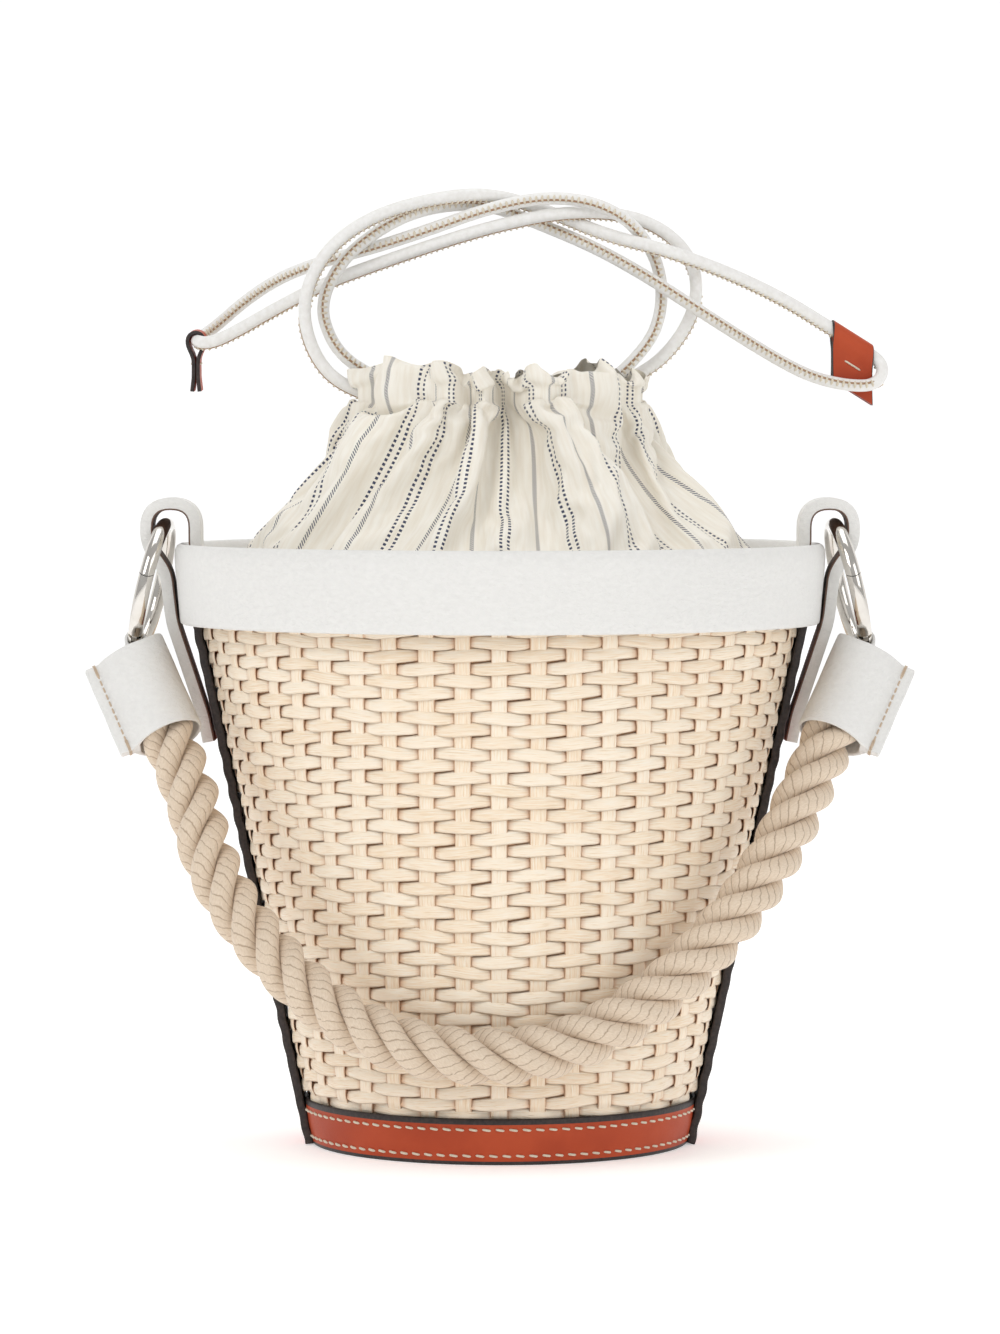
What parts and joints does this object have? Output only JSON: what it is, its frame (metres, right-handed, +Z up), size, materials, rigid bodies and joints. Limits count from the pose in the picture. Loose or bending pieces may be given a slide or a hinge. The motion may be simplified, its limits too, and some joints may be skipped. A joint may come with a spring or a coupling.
{
  "type": "bucket bag",
  "caption": "Round woven straw bucket bag with leather rim and base, gathered striped pouch with drawcords, and a rope handle hung on spring gate rings.",
  "frame": {"origin": "centre of the underside of the base", "axes": "+Z up, the front with the hanging handle is -Y, the two handle rings are at +X and -X"},
  "size_m": [0.331, 0.26, 0.3816],
  "materials": {
    "straw": "woven natural straw, satin",
    "tan_leather": "smooth vegetable tan",
    "dark_edge_leather": "painted edge",
    "white_leather": "pebbled grain, satin",
    "striped_cotton": "plain weave with navy dotted stripes",
    "white_cord": "rolled leather cord, satin",
    "polished_nickel": "polished",
    "spring_steel": "tempered",
    "rope": "laid cotton yarn",
    "board": "pressed board, hidden"
  },
  "bodies": {
    "basket": {"base_sole": "tan_leather", "base_board": "board", "basket_floor": "straw", "basket_shell": "straw", "base_band_front": "tan_leather", "base_band_back": "tan_leather", "side_strip_left": "dark_edge_leather", "side_strip_right": "dark_edge_leather", "rim_hoop": "board", "rim_band": "white_leather", "loop_left": "white_leather", "loop_right": "white_leather", "loop_lining_left": "tan_leather", "loop_lining_right": "tan_leather", "pouch_lining": "striped_cotton", "pouch_top": "striped_cotton", "pouch_casing": "striped_cotton", "drawcord_left": "white_cord", "drawcord_right": "white_cord", "tab_left": "tan_leather", "tab_right": "tan_leather"},
    "left_ring": {"ring_left": "polished_nickel", "gate_pin_left": "polished_nickel", "gate_spring_left": "spring_steel"},
    "left_gate": {"gate_left": "polished_nickel"},
    "right_ring": {"ring_right": "polished_nickel", "gate_pin_right": "polished_nickel", "gate_spring_right": "spring_steel"},
    "right_gate": {"gate_right": "polished_nickel"},
    "handle": {"ring_keeper_left": "white_leather", "ring_keeper_right": "white_leather", "sleeve_left": "white_leather", "sleeve_right": "white_leather", "rope_whipping_left": "rope", "rope_whipping_right": "rope", "rope_handle": "rope"}
  },
  "joints": [
    {"name": "ring_left_swing", "type": "hinge", "parent": "basket", "child": "left_ring", "pos_m": [-0.1335, 0, 0.2472], "axis": [-1, 0, 0], "range_deg": [0, 180], "deforming": ["loop_left", "loop_lining_left"]},
    {"name": "ring_right_swing", "type": "hinge", "parent": "basket", "child": "right_ring", "pos_m": [0.1335, 0, 0.2472], "axis": [-1, 0, 0], "range_deg": [0, 180], "deforming": ["loop_right", "loop_lining_right"]},
    {"name": "handle_on_rings", "type": "hinge", "parent": "left_ring", "child": "handle", "pos_m": [0, 0, 0.22235], "axis": [-1, 0, 0], "range_deg": [-29, 0]},
    {"name": "gate_left_open", "type": "hinge", "parent": "left_ring", "child": "left_gate", "pos_m": [-0.14485, -0.01634, 0.2036], "axis": [-0.9715, 0.0765, 0.2243], "range_deg": [0, 20], "stiffness_Nm_per_rad": 0.03, "springref_deg": -28.65},
    {"name": "gate_right_open", "type": "hinge", "parent": "right_ring", "child": "right_gate", "pos_m": [0.14485, -0.01634, 0.2036], "axis": [-0.9715, -0.0765, -0.2243], "range_deg": [0, 20], "stiffness_Nm_per_rad": 0.03, "springref_deg": -28.65}
  ],
  "couplings": [
    {"joint": "ring_right_swing", "follows": "ring_left_swing", "ratio": 1},
    {"joint": "handle_on_rings", "follows": "ring_left_swing", "ratio": -0.1611}
  ]
}
